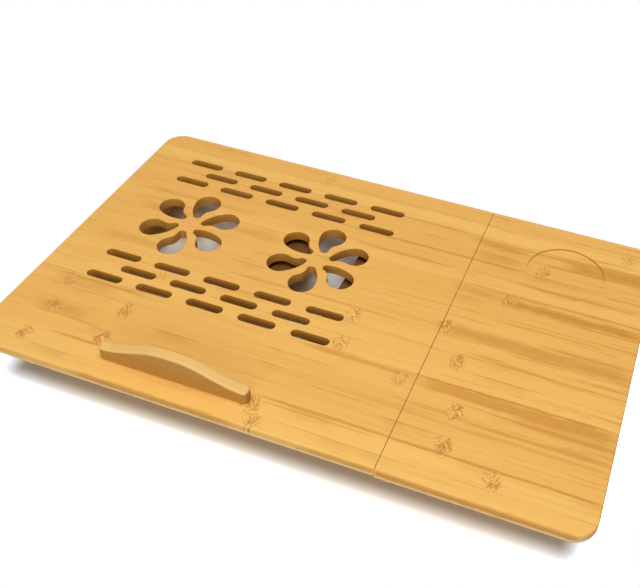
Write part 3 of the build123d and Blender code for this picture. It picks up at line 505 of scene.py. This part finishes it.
# Camera at the photograph's viewing point, in metres and in pixels of a 640 by 588 picture
view = {
    "place": (0.2347, -0.5524, 0.6151),
    "right": (0.9381, 0.3442, 0.0395), "down": (0.2629, -0.6332, -0.728),
    "focal": 877.6, "axisPixel": (393.9, 298.0), "width": 640, "height": 588, "sensor": 36.0,
}


def setCamera(look=view):
    data = bpy.data.cameras.new("photoCamera")
    data.sensor_width = look["sensor"]
    data.sensor_fit = "HORIZONTAL"
    data.lens = look["focal"] * look["sensor"] / look["width"]
    data.shift_x = (look["width"] / 2 - look["axisPixel"][0]) / look["width"]
    data.shift_y = (look["axisPixel"][1] - look["height"] / 2) / look["width"]
    camera = bpy.data.objects.new("photoCamera", data)
    bpy.context.scene.collection.objects.link(camera)
    right = Vector(look["right"]).normalized()
    up = (-Vector(look["down"])).normalized()
    back = right.cross(up)
    turn = Matrix((right, up, back)).transposed().to_4x4()
    camera.matrix_world = Matrix.Translation(look["place"]) @ turn
    bpy.context.scene.camera = camera


# White floor that keeps the table's shadow. The paper looks brighter to the camera than it is to the table,
# and its colour for the camera carries painted shade in zones: darker under the top and along the rails, and
# paler again in the middle as painted light from the openings. Each zone is given as middle, half length and
# depth, and colour. Away from the table and its open drawer, and from below, the camera looks through it to
# the white room, because the legs fold out below it. It lets the lamps' light through both ways.
floorLook = {
    "halfSize": 3.0, "squares": 8, "drop": 0.0002,
    "real": (0.50, 0.50, 0.50, 1.0), "mirrored": (1.0, 1.0, 1.0, 1.0), "open": (3.3, 4.3, 5.6, 1.0),
    "fade": 0.03, "endFade": 0.012,
    "paintedShadeZones": (((0, 0), (0.266, 0.160), (0.62, 0.66, 0.70, 1.0)),
              ((0, 0), (0.252, 0.138), (0.45, 0.41, 0.32, 1.0)),
              ((0, 0), (0.232, 0.115), (0.88, 0.91, 0.88, 1.0))),
    "shown": (((0, 0), (0.284, 0.178)), ((0.36, 0), (0.12, 0.105))),
}


def anyRay(recipe, *words):
    # 1 for the kinds of rays that are named, and 0 for the rest
    rays = 0.0
    for word in words:
        rays = recipe.math("MAXIMUM", rays, recipe.node("LightPath", output=word))
    return rays


def withinBox(recipe, place, middle, halves, fade):
    # 1 inside a rectangle on the floor and 0 outside it
    inside = 1.0
    for axis, start, half in zip("XY", middle, halves):
        away = abs(place[axis] - start * mm)
        inside = recipe.ease(away, (half + fade / 2) * mm, (half - fade / 2) * mm) * inside
    return inside


def floorPaper(look=floorLook):
    paper = Recipe(bpy.data.materials.new("studioPaper"))
    place = paper.place()
    toCamera = anyRay(paper, "Is Camera Ray")
    seen = look["open"]
    # Painted shade on the floor, zone by zone
    for middle, halves, shade in look["paintedShadeZones"]:
        seen = paper.blend(withinBox(paper, place, middle, halves, look["fade"]), seen, shade)
    mirrored = anyRay(paper, "Is Glossy Ray", "Is Transmission Ray")
    color = paper.blend(toCamera, paper.blend(mirrored, look["real"], look["mirrored"]), seen)
    away = 1.0
    for middle, halves in look["shown"]:
        away = (1.0 - withinBox(paper, place, middle, halves, look["endFade"])) * away
    away = paper.math("MAXIMUM", away, paper.node("NewGeometry", output="Backfacing"))
    hidden = paper.math("MAXIMUM", away * toCamera, anyRay(paper, "Is Shadow Ray"))
    matte = paper.node("BsdfDiffuse", None, {"Color": color})
    clear = paper.node("BsdfTransparent")
    both = paper.node("MixShader", None, {0: hidden, 1: matte, 2: clear})
    paper.node("OutputMaterial", None, {"Surface": both})
    return paper.owner


def layFloor(look=floorLook):
    mesh = bmesh.new()
    squares = look["squares"]
    bmesh.ops.create_grid(mesh, x_segments=squares, y_segments=squares, size=look["halfSize"])
    bmesh.ops.translate(mesh, verts=mesh.verts, vec=(0, 0, cadBox[0].z - look["drop"]))
    data = bpy.data.meshes.new("studioFloor")
    mesh.to_mesh(data)
    mesh.free()
    data.materials.append(floorPaper(look))
    floor = bpy.data.objects.new("studioFloor", data)
    bpy.context.scene.collection.objects.link(floor)


# Soft studio light: a large lamp overhead, a weaker one low in front, a weak one below for the underside,
# and a pale room
lamps = {
    "key": {"place": (0.12, -0.2, 1.85), "size": 1.0, "power": 23.5, "color": (1.0, 0.99, 0.97)},
    "front": {"place": (0.25, -1.7, 0.6), "size": 1.0, "power": 9.5, "color": (1.0, 1.0, 1.0)},
    "under": {"place": (0.0, 0.0, -1.3), "size": 1.0, "power": 3.0, "color": (1.0, 1.0, 1.0)},
}
lampAim = (0, 0, 0.05)
roomLook = {"color": (1, 1, 1, 1), "light": 0.24, "backdrop": 1.0}


def hangLamps():
    for name, lamp in lamps.items():
        data = bpy.data.lights.new(name + "Lamp", "AREA")
        data.shape = "SQUARE"
        data.size = lamp["size"]
        data.energy = lamp["power"]
        data.color = lamp["color"]
        light = bpy.data.objects.new(name + "Lamp", data)
        bpy.context.scene.collection.objects.link(light)
        aim = (Vector(lampAim) - Vector(lamp["place"])).to_track_quat("-Z", "Y")
        light.matrix_world = Matrix.Translation(lamp["place"]) @ aim.to_matrix().to_4x4()


def lightRoom(look=roomLook):
    room = Recipe(bpy.data.worlds.new("paleRoom"))
    bpy.context.scene.world = room.owner
    light = room.node("Background", None, {"Color": look["color"], "Strength": look["light"]})
    backdrop = room.node("Background", None, {"Color": look["color"], "Strength": look["backdrop"]})
    seen = anyRay(room, "Is Camera Ray", "Is Glossy Ray", "Is Transmission Ray")
    both = room.node("MixShader", None, {0: seen, 1: light, 2: backdrop})
    room.node("OutputWorld", None, {"Surface": both})


setCamera()
layFloor()
hangLamps()
lightRoom()
bpy.context.scene.view_settings.view_transform = "Standard"
print("stage 4: camera, floor and light in place")
